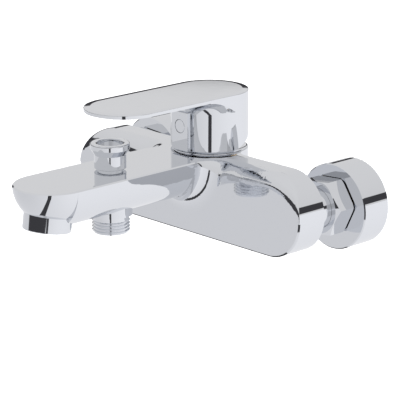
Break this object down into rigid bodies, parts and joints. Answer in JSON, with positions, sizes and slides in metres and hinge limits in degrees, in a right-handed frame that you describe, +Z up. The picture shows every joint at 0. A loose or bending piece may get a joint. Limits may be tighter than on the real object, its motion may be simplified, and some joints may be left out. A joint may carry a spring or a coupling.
{
  "type": "wall mounted bath faucet",
  "caption": "Chrome single-lever bath and shower mixer for exposed wall mounting, with flat spout, pull-up diverter and lower shower outlet.",
  "frame": {"origin": "wall plane, midway between the two wall inlets", "axes": "+X to the right when facing the wall, +Y into the wall, +Z up"},
  "size_m": [0.199, 0.1929, 0.0838],
  "materials": {
    "chrome": "bright polished chrome plate",
    "brass": "machined brass",
    "steel": "stainless steel",
    "ceramic": "lapped alumina ceramic",
    "dark_plastic": "glass filled plastic",
    "pale_plastic": "acetal",
    "rubber": "nitrile rubber",
    "fibre": "pressed fibre gasket"
  },
  "bodies": {
    "body": {"faucet_body": "chrome", "cover_ring": "chrome", "diverter_bonnet": "chrome", "shower_nipple": "chrome", "aerator_sleeve": "chrome", "left_tail_piece": "chrome", "left_union_nut": "chrome", "left_escutcheon": "chrome", "right_tail_piece": "chrome", "right_union_nut": "chrome", "right_escutcheon": "chrome", "cartridge_nut": "brass", "left_wall_union": "brass", "right_wall_union": "brass", "diverter_spring": "steel", "check_spring": "steel", "aerator_mesh": "steel", "fixed_disc": "ceramic", "cartridge_base": "dark_plastic", "check_valve_body": "pale_plastic", "cartridge_housing": "pale_plastic", "aerator_insert": "pale_plastic", "port_seals": "rubber", "spindle_seal": "rubber", "aerator_gasket": "rubber", "left_union_gasket": "fibre", "right_union_gasket": "fibre"},
    "cartridge_rotor": {"rotating_guide": "pale_plastic", "stem_pin": "steel"},
    "lever": {"lever_handle": "chrome", "index_plug": "chrome", "grub_screw": "steel", "lever_stem": "steel"},
    "disc_slider": {"moving_disc": "ceramic", "disc_carrier": "dark_plastic"},
    "diverter": {"diverter_knob": "chrome", "diverter_spindle": "brass", "valve_seal": "rubber", "spindle_nut": "brass"},
    "poppet": {"check_poppet": "dark_plastic"}
  },
  "joints": [
    {"name": "lever_swivel", "type": "hinge", "parent": "body", "child": "cartridge_rotor", "pos_m": [0, -0.0425, 0.03], "axis": [0, 0, 1], "range_deg": [-45, 45]},
    {"name": "lever_lift", "type": "hinge", "parent": "cartridge_rotor", "child": "lever", "pos_m": [0, -0.0425, 0.03], "axis": [-1, 0, 0], "range_deg": [0, 20]},
    {"name": "disc_slide", "type": "slide", "parent": "cartridge_rotor", "child": "disc_slider", "axis": [0, -1, 0], "range_m": [0, 0.0038]},
    {"name": "diverter_pull", "type": "slide", "parent": "body", "child": "diverter", "axis": [0, 0, 1], "range_m": [0, 0.006], "stiffness_N_per_m": 200, "springref_m": -0.004, "deforming": ["diverter_spring"]},
    {"name": "poppet_travel", "type": "slide", "parent": "body", "child": "poppet", "axis": [0, 0, -1], "range_m": [0, 0.0025], "stiffness_N_per_m": 150, "springref_m": -0.002, "deforming": ["check_spring"]}
  ],
  "couplings": [
    {"joint": "disc_slide", "follows": "lever_lift", "m_per_rad": 0.01085}
  ]
}
